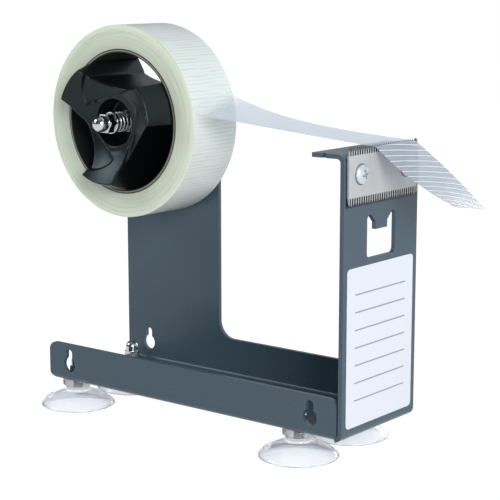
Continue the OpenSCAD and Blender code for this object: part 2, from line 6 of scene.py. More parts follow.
import bpy
from bpy.props import FloatProperty, FloatVectorProperty, IntProperty, PointerProperty
from bpy.types import Operator, Panel, PropertyGroup, Scene
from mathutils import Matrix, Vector


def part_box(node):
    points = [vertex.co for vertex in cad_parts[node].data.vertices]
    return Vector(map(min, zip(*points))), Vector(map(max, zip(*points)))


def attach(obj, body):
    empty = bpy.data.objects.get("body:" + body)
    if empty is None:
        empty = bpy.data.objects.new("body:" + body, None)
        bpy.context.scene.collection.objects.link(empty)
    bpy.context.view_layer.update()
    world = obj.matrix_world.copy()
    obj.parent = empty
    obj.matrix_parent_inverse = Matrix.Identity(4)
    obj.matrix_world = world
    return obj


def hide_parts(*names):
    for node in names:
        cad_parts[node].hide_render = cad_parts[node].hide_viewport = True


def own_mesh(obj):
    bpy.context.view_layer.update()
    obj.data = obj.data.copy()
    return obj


bl_info = {
    "name": "Desktop tape dispenser",
    "version": (1, 0, 0),
    "blender": (4, 5, 0),
    "location": "View3D > Sidebar > Dispenser",
    "description": "Makes the dispenser's finished pieces on its packed frame",
    "category": "Object",
}

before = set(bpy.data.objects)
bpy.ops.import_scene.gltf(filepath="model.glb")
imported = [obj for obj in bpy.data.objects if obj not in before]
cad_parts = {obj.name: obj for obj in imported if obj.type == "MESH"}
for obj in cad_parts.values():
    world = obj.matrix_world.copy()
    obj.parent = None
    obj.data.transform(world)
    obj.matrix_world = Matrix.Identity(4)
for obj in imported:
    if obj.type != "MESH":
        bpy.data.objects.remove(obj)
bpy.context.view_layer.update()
MM = 0.001


def corners(node):
    """The lowest and highest corner of a CAD node."""
    low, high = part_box(node)
    return Vector(low), Vector(high)


def linear(red, green, blue):
    """A screen colour, 0 to 255, as the linear colour that shaders take."""
    scaled = [value / 255 for value in (red, green, blue)]
    return tuple(v / 12.92 if v <= 0.04045 else ((v + 0.055) / 1.055) ** 2.4 for v in scaled)


ROLL_LOW, ROLL_HIGH = corners("tape_roll")
AXLE = (ROLL_LOW + ROLL_HIGH) / 2
ROLL_R = (ROLL_HIGH.x - ROLL_LOW.x) / 2
CORE_LOW, CORE_HIGH = corners("tape_core")
CORE_R = (CORE_HIGH.x - CORE_LOW.x) / 2
CORE_WALL = 2 * MM
SPRING_LOW, SPRING_HIGH = corners("brake_spring")
BLADE_LOW, BLADE_HIGH = corners("cutter_blade")
LABEL_LOW, LABEL_HIGH = corners("blank_label")
SCREW_LOW, SCREW_HIGH = corners("blade_screws")
SCREW_R = (SCREW_HIGH.z - SCREW_LOW.z) / 2
SCREW_Y = SCREW_HIGH.y - SCREW_R
SCREW_Z = (SCREW_LOW.z + SCREW_HIGH.z) / 2
CUPS = ("front_left", "front_right", "rear_left", "rear_right")

# The blade's teeth
TOOTH_PITCH = 2 * MM
TOOTH_ROOT = 4.2 * MM

# The share of the free film's length at which it meets the cutter
CUTTER_SHARE = 0.69

# Points closer than this are one point, and faces within this angle are one face
WELD = 0.002 * MM
FLAT = math.radians(0.6)

# Edges sharper than this many degrees are rounded
SHARP = 38

# The turn that lays a piece made along Z down, with its top to the front
TO_FRONT = (math.pi / 2, 0, 0)


# Settings that a user would change


def colour_setting(name, description, *screen):
    """A colour, given as a screen colour."""
    return FloatVectorProperty(name=name, description=description, subtype="COLOR", default=linear(*screen))


def length_setting(name, description, default):
    """A length in metres."""
    return FloatProperty(name=name, description=description, unit="LENGTH", default=default)


def share_setting(name, description, default):
    """A number from 0 to 1."""
    return FloatProperty(name=name, description=description, subtype="FACTOR", min=0, max=1, default=default)


def power_setting(name, description, default):
    """A lamp's power in watts."""
    return FloatProperty(name=name, description=description, unit="POWER", default=default)


class StandSettings(PropertyGroup):
    """Folded sheet stand"""

    coat: colour_setting("Coat", "Colour of the powder coat", 70, 88, 101)
    coat_roughness: share_setting("Coat roughness", "Roughness of the powder coat", 0.27)
    edge: length_setting("Edge radius", "Rounding of the sheet's cut edges", 0.35 * MM)


class HubSettings(PropertyGroup):
    """Three-winged hub"""

    plastic: colour_setting("Plastic", "Colour of the moulded plastic", 8, 10, 12)
    plastic_roughness: share_setting("Plastic roughness", "Roughness of the plastic", 0.34)
    grid: length_setting("Grid", "Grid on which the moulded edges are rounded", 0.5 * MM)
    passes: IntProperty(name="Passes", description="Smoothing passes over the moulded edges", default=9)
    bore: length_setting("Bore radius", "Radius of the bore that turns on the spindle", 3.3 * MM)


class TapeSettings(PropertyGroup):
    """Roll of tape and its free length"""

    film: colour_setting("Film", "Colour of the film on the roll", 216, 224, 219)
    side: colour_setting("Side", "Colour of the roll's sides", 226, 234, 214)
    web: colour_setting("Free film", "Colour of the free film", 230, 241, 255)
    # The tail colour is the free film darkened as painted shade on the part past the cutter.
    tail: colour_setting("Tail", "Colour of the film past the cutter", 160, 172, 189)
    strand: colour_setting("Strands", "Colour of the glass strands", 246, 249, 252)
    strand_pitch: length_setting("Strand pitch", "Distance between the cross strands", 4.1 * MM)
    thickness: length_setting("Thickness", "Thickness of the free film", 0.16 * MM)
    rings: IntProperty(name="Rings", description="Rings that show on the roll's sides", default=34)


class MetalSettings(PropertyGroup):
    """Blade, spring, screws and nuts"""

    zinc: colour_setting("Zinc", "Colour of the bright zinc plate", 222, 226, 230)
    steel: colour_setting("Steel", "Colour of the blade", 232, 234, 236)
    wire: colour_setting("Wire", "Colour of the spring", 205, 206, 205)
    edge: length_setting("Edge radius", "Rounding of nuts and washers", 0.22 * MM)


class FeetSettings(PropertyGroup):
    """Suction cups"""

    vinyl: colour_setting("Vinyl", "Colour of the clear vinyl", 245, 247, 253)
    sides: IntProperty(name="Sides", description="Sides of a turned cup", default=96)


class LabelSettings(PropertyGroup):
    """Blank label"""

    paper: colour_setting("Paper", "Colour of the sticker", 222, 227, 235)
    line: colour_setting("Lines", "Colour of the ruled lines", 140, 147, 158)
    line_pitch: length_setting("Line pitch", "Distance between the ruled lines", 9 * MM)


class StageSettings(PropertyGroup):
    """Floor, lamps and camera"""

    floor: FloatVectorProperty(
        name="Floor", description="Colour of the floor", subtype="COLOR", default=(0.62, 0.62, 0.62)
    )
    key: power_setting("Key lamp", "Power of the lamp at the right", 30)
    top: power_setting("Top lamp", "Power of the lamp overhead", 0.8)
    side: power_setting("Side lamp", "Power of the lamp at the left", 7.4)
    front: power_setting("Front lamp", "Power of the lamp in front", 0.5)
    back: power_setting("Back lamp", "Power of the lamp behind", 8)
    surround: share_setting("Surround", "Light from the white room behind", 0.9)
    dim: share_setting("Dim side", "Light from the room in front", 0.065)


PREFIX = "dispenser_"
SETTINGS = {
    "stand": StandSettings,
    "hub": HubSettings,
    "tape": TapeSettings,
    "metal": MetalSettings,
    "feet": FeetSettings,
    "label": LabelSettings,
    "stage": StageSettings,
}


def setting(name):
    """One group of settings."""
    return getattr(bpy.context.scene, PREFIX + name)


# Shader expressions


def math_sign(operation):
    """A Python operator that adds a Math node."""
    return lambda wire, other: wire.math(operation, other)


class Wire:
    """A node's output; Python's operators on wires and numbers add Math nodes."""

    __add__ = __radd__ = math_sign("ADD")
    __mul__ = __rmul__ = math_sign("MULTIPLY")
    __sub__ = math_sign("SUBTRACT")
    __truediv__ = math_sign("DIVIDE")
    __pow__ = math_sign("POWER")

    def __init__(self, paint, node, key=0):
        self.paint = paint
        self.node = node
        self.socket = node.outputs[key]

    def out(self, key):
        """Another output of the same node."""
        return Wire(self.paint, self.node, key)

    def math(self, operation, *others):
        """A Math node with this wire first."""
        return self.paint.node("Math", {"operation": operation}, dict(enumerate((self, *others))))

    def __rsub__(self, other):
        return self.paint.node("Math", {"operation": "SUBTRACT"}, {0: other, 1: self})

    def __abs__(self):
        return self.math("ABSOLUTE")

    def step(self, low, high):
        """0 below low and 1 above high, with a smooth rise between."""
        settings = {"interpolation_type": "SMOOTHSTEP"}
        sockets = {"Value": self, "From Min": low, "From Max": high}
        return self.paint.node("MapRange", settings, sockets)


class Paint:
    """The nodes of one material, or of the world."""

    def __init__(self, owner):
        owner.use_nodes = True
        self.owner = owner
        self.tree = owner.node_tree
        self.tree.nodes.clear()

    def node(self, kind, settings=None, sockets=None, out=0):
        """Adds a node, sets its settings, then its sockets, and gives one output."""
        node = self.tree.nodes.new("ShaderNode" + kind)
        for key, value in (settings or {}).items():
            if key == "stops":
                self.set_stops(node.color_ramp, value)
            else:
                setattr(node, key, value)
        for key, value in (sockets or {}).items():
            if isinstance(value, Wire):
                self.tree.links.new(value.socket, node.inputs[key])
            else:
                node.inputs[key].default_value = value
        return Wire(self, node, out) if node.outputs else node

    @staticmethod
    def set_stops(ramp, stops):
        """Gives a colour ramp its (place, colour) stops."""
        while len(ramp.elements) < len(stops):
            ramp.elements.new(1)
        for element, (place, colour) in zip(ramp.elements, stops):
            element.position = place
            element.color = (*colour[:3], 1)

    def place(self, centre=(0, 0, 0), stretch=(1, 1, 1)):
        """Object coordinates about a centre, in metres."""
        raw = self.node("TexCoord", out="Object")
        moved = self.node("VectorMath", {"operation": "SUBTRACT"}, {0: raw, 1: tuple(centre)})
        return self.node("Mapping", None, {"Vector": moved, "Scale": stretch})

    def parts(self, vector):
        """The three parts of a vector."""
        split = self.node("SeparateXYZ", None, {"Vector": vector})
        return split, split.out("Y"), split.out("Z")

    def pair(self, x, y):
        """A vector of two values."""
        return self.node("CombineXYZ", None, {"X": x, "Y": y})

    def noise(self, vector, scale, detail=2.0, roughness=0.5):
        """Noise of about scale waves to each unit of the vector."""
        sockets = {"Vector": vector, "Scale": scale, "Detail": detail, "Roughness": roughness}
        return self.node("TexNoise", None, sockets)

    def mix(self, share, first, second):
        """A colour between two colours."""
        colours = [c if isinstance(c, Wire) else (*c[:3], 1) for c in (first, second)]
        return self.node("Mix", {"data_type": "RGBA"}, {0: share, 6: colours[0], 7: colours[1]}, out=2)

    def finish(self, colour, rough, relief, depth, **others):
        """Ends a material in one principled shader, bumped by relief, 0 to 1, times depth in metres."""
        normal = self.node("Bump", None, {"Height": relief, "Distance": depth, "Strength": 1.0})
        sockets = {"Base Color": colour, "Roughness": rough, "Normal": normal}
        for key, value in others.items():
            name = key.replace("_", " ")
            sockets[name] = (*value, 1) if name.endswith("Tint") else value
        shader = self.node("BsdfPrincipled", None, sockets)
        self.node("OutputMaterial", None, {"Surface": shader})
        return self.owner


def once(recipe):
    """Makes a recipe's material when it is first asked for, and gives the same one after that."""
    name = recipe.__name__

    @functools.wraps(recipe)
    def made(*values):
        return bpy.data.materials.get(name) or recipe(Paint(bpy.data.materials.new(name)), *values)

    return made


def tinted(colour, factor):
    """A colour made lighter or darker."""
    return tuple(min(1.0, value * factor) for value in colour)


def axle_place(paint):
    """Distance from the axle, place along it and angle round it."""
    x, y, z = paint.parts(paint.place(AXLE))
    radius = (x * x + z * z) ** 0.5
    return radius, y, z.math("ARCTAN2", x)


@once
def powder_coat(paint):
    """Slate powder coat with peel and specks, a painted shadow behind the blade and a painted highlight on
    edges that face upward.
    """
    own = setting("stand")
    place = paint.place()
    peel = paint.noise(place, 420)
    grain = paint.noise(place, 2600)
    cloud = paint.noise(place, 14, 3)
    colour = paint.mix(cloud, tinted(own.coat, 0.95), tinted(own.coat, 1.05))
    colour = paint.mix(grain.step(0.66, 0.74) * 0.25, colour, tinted(own.coat, 1.5))
    x, y, z = paint.parts(place)
    # Painted shadow of the blade on the post: the coat behind it, and a margin below and beside it, is made
    # nearly black.
    front = x.step(BLADE_LOW.x - 0.6 * MM, BLADE_LOW.x - 0.3 * MM)
    above = z.step(BLADE_LOW.z - 1.3 * MM, BLADE_LOW.z - 0.2 * MM)
    between = 1 - abs(y).step(BLADE_HIGH.y + 0.7 * MM, BLADE_HIGH.y + 1.8 * MM)
    painted_blade_shadow = front * above * between
    colour = paint.mix(painted_blade_shadow * 0.95, colour, tinted(own.coat, 0.06))
    edge = paint.node("Attribute", {"attribute_name": "edge"}, out="Fac")
    up = paint.parts(paint.node("NewGeometry", out="Normal"))[2]
    # Painted highlight: rounded edges that face upward are made much lighter, broken up by noise.
    painted_edge_highlight = edge * up.step(-0.2, 0.6) * (0.35 + 0.65 * cloud.step(0.4, 0.6))
    colour = paint.mix(painted_edge_highlight * 0.55, colour, tinted(own.coat, 3.4))
    rough = own.coat_roughness + 0.1 * (grain - 0.5) + 0.05 * (cloud - 0.5)
    relief = peel * 0.7 + grain * 0.3
    return paint.finish(colour, rough, relief, 0.025 * MM, Specular_IOR_Level=0.38)


@once
def moulded_plastic(paint):
    """Black plastic with a fine grain and faint flow marks."""
    own = setting("hub")
    place = paint.place(AXLE)
    grain = paint.noise(place, 2200, 3, 0.6)
    flow = paint.noise(place, 45, 3)
    colour = paint.mix(flow, tinted(own.plastic, 0.85), tinted(own.plastic, 1.15))
    rough = own.plastic_roughness + 0.12 * (flow - 0.5) + 0.1 * (grain - 0.5)
    cold = (0.75, 0.93, 1.0)
    return paint.finish(colour, rough, grain, 0.018 * MM, Specular_IOR_Level=0.45, Specular_Tint=cold)


@once
def core_board(paint):
    """Wound board: a dark inside, pale plies and a brown outer ply."""
    radius = axle_place(paint)[0]
    depth = (radius - (CORE_R - CORE_WALL)) / CORE_WALL
    fibre = paint.noise(paint.place(AXLE), 700, 4, 0.7)
    plies = (depth * 38 + fibre * 2).math("SINE") * 0.5 + 0.5
    pale = paint.mix(fibre, linear(128, 124, 114), linear(176, 172, 162))
    plied = paint.mix(plies * 0.35, pale, linear(104, 94, 84))
    rim = paint.mix(depth.step(0.62, 0.72), plied, linear(66, 52, 44))
    inner = paint.mix(fibre, linear(8, 19, 17), linear(24, 36, 33))
    colour = paint.mix(depth.step(0.3, 0.4), inner, rim)
    rough = 0.62 + 0.25 * (fibre - 0.5)
    relief = fibre * 0.6 + plies * 0.4
    return paint.finish(colour, rough, relief, 0.05 * MM)


@once
def wound_film(paint):
    """Film on the roll: rings on the sides with painted shading, darker at the core and paler towards the
    rim, and cross strands on the skin.
    """
    own = setting("tape")
    radius, along, angle = axle_place(paint)
    share = (radius - CORE_R) / (ROLL_R - CORE_R)
    turns = paint.pair(radius, angle * 0.0006)
    fine = paint.noise(turns, 5200, 3, 0.6)
    broad = paint.noise(turns, 1300)
    # Painted shading on the sides: darker near the core, lighter towards the rim.
    side_shading = ((0.0, 0.8), (0.4, 0.91), (0.65, 0.97), (0.85, 1.07), (1.0, 1.12))
    stops = [(reach, tinted(own.side, tone)) for reach, tone in side_shading]
    side = paint.node("ValToRGB", {"stops": stops}, {"Fac": share})
    dark = (fine - 0.5) * 0.8 + broad.step(0.5, 0.66) * 0.32 + 0.14
    ringed = paint.mix(dark, side, tinted(own.side, 0.6))
    wander = paint.noise(paint.pair(angle * 3, along * 60), 1.0) * 0.7
    strand = (angle * (ROLL_R / own.strand_pitch) * 1.9 + wander).math("FRACT")
    line = strand.step(0.0, 0.2) * (1 - strand.step(0.25, 0.6))
    fade = paint.noise(paint.pair(angle * 30, along * 55), 1.0)
    outer = paint.mix(line * fade.step(0.3, 0.66) * 0.8, own.film, tinted(own.film, 0.76))
    hairs = paint.noise(paint.pair(angle * 260, along * 30), 1.0)
    outer = paint.mix(hairs * 0.18, outer, own.strand)
    skin = radius.step(ROLL_R - 0.25 * MM, ROLL_R - 0.1 * MM)
    colour = paint.mix(skin, ringed, outer)
    rough = 0.5 - 0.1 * skin + 0.12 * (fine - 0.5)
    relief = (1 - skin) * fine + skin * (hairs * 0.5 + line * 0.5)
    return paint.finish(
        colour, rough, relief, 0.03 * MM, Subsurface_Weight=0.12, Subsurface_Scale=4 * MM,
        Subsurface_Radius=(1.0, 1.0, 0.85), Coat_Weight=0.08, Coat_Roughness=0.3
    )


@once
def free_film(paint, length):
    """Clear film with cross strands that show past the cutter, fading in where it leaves the roll."""
    own = setting("tape")
    run, across, _ = paint.parts(paint.node("UVMap", {"uv_map": "UVMap"}))
    along = run * length
    wander = paint.noise(paint.pair(along * 30, across * 0.6), 1.0) * 0.35
    ahead = (run - CUTTER_SHARE).math("MAXIMUM", 0.0) * length
    skew = (5 * MM + 0.08 * ahead) * across
    turn = ((along - skew) / own.strand_pitch + wander).math("FRACT")
    past = run.step(CUTTER_SHARE - 0.02, CUTTER_SHARE + 0.02)
    tail = 0.12 + 0.88 * past
    bright = turn.step(0.0, 0.1) * (1 - turn.step(0.12, 0.24)) * tail
    second = turn.step(0.5, 0.56) * (1 - turn.step(0.58, 0.68)) * 0.2 * tail
    hairs = paint.noise(paint.pair(along * 2600, across * 1.6), 1.0)
    share = bright + second + 0.16 * hairs
    # Past the cutter the film takes the darker tail colour, which is painted shade.
    ground = paint.mix(past, own.web, own.tail)
    colour = paint.mix(share.math("MINIMUM", 1.0), ground, own.strand)
    rise = 0.15 + 0.85 * (run + 0.05 * across).step(0.04, 0.13)
    body = 0.5 + 0.15 * past + 0.34 * bright + 0.15 * second + 0.12 * (hairs - 0.5)
    alpha = rise * body.math("MINIMUM", 0.95)
    relief = share * 0.5
    return paint.finish(colour, 0.28 + 0.1 * hairs, relief, 0.03 * MM, Alpha=alpha)


def zinc_plate(paint, dulled):
    """Zinc plate, mirror bright at 0 and satin at 1."""
    own = setting("metal")
    place = paint.place()
    cloud = paint.noise(place, 260, 3)
    fine = paint.noise(place, 2400)
    colour = paint.mix(cloud, tinted(own.zinc, 0.9), own.zinc)
    rough = 0.09 + 0.2 * dulled + 0.09 * cloud + 0.04 * fine
    return paint.finish(colour, rough, fine, 0.006 * MM, Metallic=1.0 - 0.4 * dulled)


@once
def bright_zinc(paint):
    """Bright zinc, on nuts, washers and rods."""
    return zinc_plate(paint, 0.0)


@once
def satin_zinc(paint):
    """Satin zinc, on what holds the blade."""
    return zinc_plate(paint, 1.0)


@once
def drawn_wire(paint):
    """Spring wire with fine drawing lines."""
    own = setting("metal")
    cloud = paint.noise(paint.place(AXLE), 500, 3)
    lines = paint.noise(paint.place(AXLE, stretch=(1, 12, 1)), 900)
    colour = paint.mix(lines, tinted(own.wire, 0.82), own.wire)
    return paint.finish(colour, 0.2 + 0.15 * cloud, lines, 0.008 * MM, Metallic=1.0)


@once
def brushed_steel(paint):
    """Brushed blade steel, with painted shade between the teeth, a painted shadow round the screws, and
    darker upper tips.
    """
    own = setting("metal")
    place = paint.place()
    strokes = paint.noise(paint.place(stretch=(1, 1, 0.03)), 3800, 3, 0.65)
    blotch = paint.noise(paint.place(stretch=(1, 1, 0.45)), 260, 3)
    grain = paint.noise(place, 2600)
    share = strokes * 0.3 + blotch * 0.3 + grain.step(0.3, 0.7) * 0.4
    plain = paint.mix(share, tinted(own.steel, 0.54), tinted(own.steel, 0.86))
    _, y, z = paint.parts(place)
    # Painted shade: the gullets between the teeth are made nearly black.
    tooth = (y / TOOTH_PITCH).math("FRACT") - 0.5
    painted_gullet_shade = 1 - abs(tooth).step(0.24, 0.36)
    shallow = TOOTH_ROOT - 0.6 * MM
    low = 1 - z.step(BLADE_LOW.z + shallow, BLADE_LOW.z + TOOTH_ROOT)
    high = z.step(BLADE_HIGH.z - TOOTH_ROOT, BLADE_HIGH.z - shallow)
    # Painted shadow: a dark ring round each screw head.
    side = abs(y) - SCREW_Y
    rise = z - SCREW_Z
    painted_screw_shadow = 1 - ((side * side + rise * rise) ** 0.5).step(SCREW_R + 0.2 * MM, SCREW_R + 0.7 * MM)
    tip = z.step(BLADE_HIGH.z - 2.4 * MM, BLADE_HIGH.z - 1.0 * MM)
    dark = (painted_gullet_shade * (low + high) * 0.95).math("MAXIMUM", painted_screw_shadow * 0.9).math("MAXIMUM", tip * 0.75)
    colour = paint.mix(dark, plain, tinted(own.steel, 0.02))
    rough = 0.42 + 0.12 * strokes + 0.1 * (blotch - 0.5)
    return paint.finish(colour, rough, strokes, 0.008 * MM, Metallic=0.35)


@once
def sticker_paper(paint):
    """White paper with faint ruled lines inside a margin."""
    own = setting("label")
    half = (LABEL_HIGH - LABEL_LOW) / 2
    place = paint.place((LABEL_LOW + LABEL_HIGH) / 2)
    _, y, z = paint.parts(place)
    fibre = paint.noise(place, 1800, 4, 0.7)
    cloud = paint.noise(place, 60)
    ground = paint.mix(fibre * 0.5 + cloud * 0.5, tinted(own.paper, 0.965), own.paper)
    row = (z / own.line_pitch + 0.5).math("FRACT")
    rule = row.step(0.45, 0.47) * (1 - row.step(0.53, 0.55))
    reach = half - Vector((0, 7 * MM, 9 * MM))
    fade = 0.2 * MM
    across = 1 - abs(y).step(reach.y - fade, reach.y)
    down = 1 - abs(z).step(reach.z - fade, reach.z)
    colour = paint.mix(rule * across * down, ground, own.line)
    rough = 0.36 + 0.12 * (fibre - 0.5)
    return paint.finish(colour, rough, fibre, 0.008 * MM, Coat_Weight=0.1, Coat_Roughness=0.3)


@once
def soft_vinyl(paint):
    """Clear vinyl with a faint haze and ripple, darker in the neck."""
    own = setting("feet")
    place = paint.place()
    haze = paint.noise(place, 90, 3)
    ripple = paint.noise(place, 260)
    neck = paint.parts(place)[2].step(8.5 * MM, 10 * MM)
    colour = paint.mix(haze, tinted(own.vinyl, 0.97), own.vinyl)
    colour = paint.mix(neck * 0.8, colour, tinted(own.vinyl, 0.4))
    rough = 0.03 + 0.06 * haze
    return paint.finish(
        colour, rough, ripple, 0.02 * MM, Transmission_Weight=0.74, IOR=1.16,
        Coat_Weight=0.5, Coat_Roughness=0.06
    )


# Modelling


def deselect():
    """Leaves edit mode with nothing selected."""
    if bpy.context.object and bpy.context.object.mode != "OBJECT":
        bpy.ops.object.mode_set(mode="OBJECT")
    bpy.ops.object.select_all(action="DESELECT")


def focus(piece):
    """Makes one piece the selected and active one."""
    deselect()
    piece.select_set(True)
    bpy.context.view_layer.objects.active = piece


def edit(piece, kind="VERT"):
    """Opens a piece in edit mode with all of it selected."""
    focus(piece)
    bpy.ops.object.mode_set(mode="EDIT")
    bpy.ops.mesh.select_mode(type=kind)
    bpy.ops.mesh.select_all(action="SELECT")


def close():
    """Goes back to object mode."""
    bpy.ops.object.mode_set(mode="OBJECT")


def named(piece, name):
    """Names a piece and its mesh."""
    piece.name = name
    piece.data.name = name
    return piece


def modify(piece, kind, **settings):
    """Adds a modifier, sets it and applies it."""
    focus(piece)
    bpy.ops.object.modifier_add(type=kind)
    modifier = piece.modifiers[-1]
    for key, value in settings.items():
        setattr(modifier, key, value)
    bpy.ops.object.modifier_apply(modifier=modifier.name)


def smooth(piece, angle):
    """Shades a piece smooth, but for edges sharper than an angle in degrees."""
    focus(piece)
    bpy.ops.object.shade_smooth_by_angle(angle=math.radians(angle))


def settle(piece, place=(0, 0, 0), turn=(0, 0, 0)):
    """Puts a piece in place and moves that place into its mesh."""
    focus(piece)
    piece.location = place
    piece.rotation_euler = turn
    bpy.ops.object.transform_apply(location=True, rotation=True, scale=True)


def face_outwards():
    """Turns all faces of the mesh in edit mode outwards."""
    bpy.ops.mesh.select_all(action="SELECT")
    bpy.ops.mesh.normals_make_consistent(inside=False)


def copy_of(node, name):
    """A merged copy of a CAD node's mesh, as a new piece."""
    piece = named(bpy.data.objects.new(name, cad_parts[node].data.copy()), name)
    piece.data.materials.clear()
    bpy.context.scene.collection.objects.link(piece)
    edit(piece)
    bpy.ops.mesh.remove_doubles(threshold=WELD)
    close()
    return piece


def flatten(piece):
    """Joins faces that lie in one plane."""
    edit(piece)
    bpy.ops.mesh.dissolve_limited(angle_limit=FLAT)
    close()


def soften(piece, edge, segments=2):
    """Joins flat faces, rounds the edges between the others and marks the rounded faces."""
    flatten(piece)
    for _ in range(2):
        piece.data.materials.append(None)
    modify(
        piece, "BEVEL", width=edge, segments=segments, limit_method="ANGLE", angle_limit=math.radians(SHARP),
        use_clamp_overlap=True, miter_outer="MITER_ARC", material=1
    )
    marks = piece.data.attributes.new("edge", "FLOAT", "FACE")
    for face in piece.data.polygons:
        marks.data[face.index].value = float(face.material_index == 1)
        face.material_index = 0
    smooth(piece, SHARP)
    modify(piece, "WEIGHTED_NORMAL", keep_sharp=True, weight=80)


def turned(name, stations, sides):
    """A body turned on the Z axis through (radius, height) stations, closed at both ends."""
    deselect()
    radius, height = stations[0]
    place = (0, 0, height)
    bpy.ops.mesh.primitive_circle_add(vertices=sides, radius=radius, fill_type="NGON", location=place)
    piece = named(bpy.context.object, name)
    edit(piece, "EDGE")
    for next_radius, next_height in stations[1:]:
        rise = {"value": (0, 0, next_height - height)}
        bpy.ops.mesh.extrude_edges_move(TRANSFORM_OT_translate=rise)
        scale = next_radius / radius
        bpy.ops.transform.resize(value=(scale, scale, 1), center_override=(0, 0, next_height))
        radius, height = next_radius, next_height
    bpy.ops.mesh.edge_face_add()
    face_outwards()
    close()
    settle(piece, piece.location.copy())
    return piece


def threads(top, bottom, radius, pitch=0.8 * MM, depth=0.34 * MM):
    """Stations of a threaded rod from its bottom to its top."""
    root = radius - depth
    stations = [(root, bottom)]
    height = bottom + pitch * 0.5
    while height + pitch * 0.6 < top:
        stations += [(radius, height), (radius, height + pitch * 0.15)]
        stations += [(root, height + pitch * 0.5), (root, height + pitch * 0.62)]
        height += pitch
    stations.append((root, top))
    return stations


def join(name, *pieces):
    """Joins pieces into the first one."""
    deselect()
    for piece in pieces:
        piece.select_set(True)
    bpy.context.view_layer.objects.active = pieces[0]
    bpy.ops.object.join()
    pieces[0].name = name
    return pieces[0]


def set_up(piece, finish, body, slot, *nodes):
    """Gives a finished piece its material and its body, and hides the CAD nodes that it stands for; slot is
    not used.
    """
    piece.data.materials.clear()
    piece.data.materials.append(finish)
    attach(piece, body)
    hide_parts(*nodes)


def round_off(node, name, edge, finish, body, slot):
    """Makes a piece with rounded edges from its CAD node."""
    piece = copy_of(node, name)
    soften(piece, edge)
    set_up(piece, finish, body, slot, node)


def plate(node, body="stand", finish=bright_zinc):
    """Makes a plated nut, washer or screw from its CAD node."""
    round_off(node, node + "_plated", setting("metal").edge, finish(), body, "zinc")


# Operators


class DispenserOperator:
    """What the dispenser's operators share"""

    bl_options = {"REGISTER", "UNDO"}


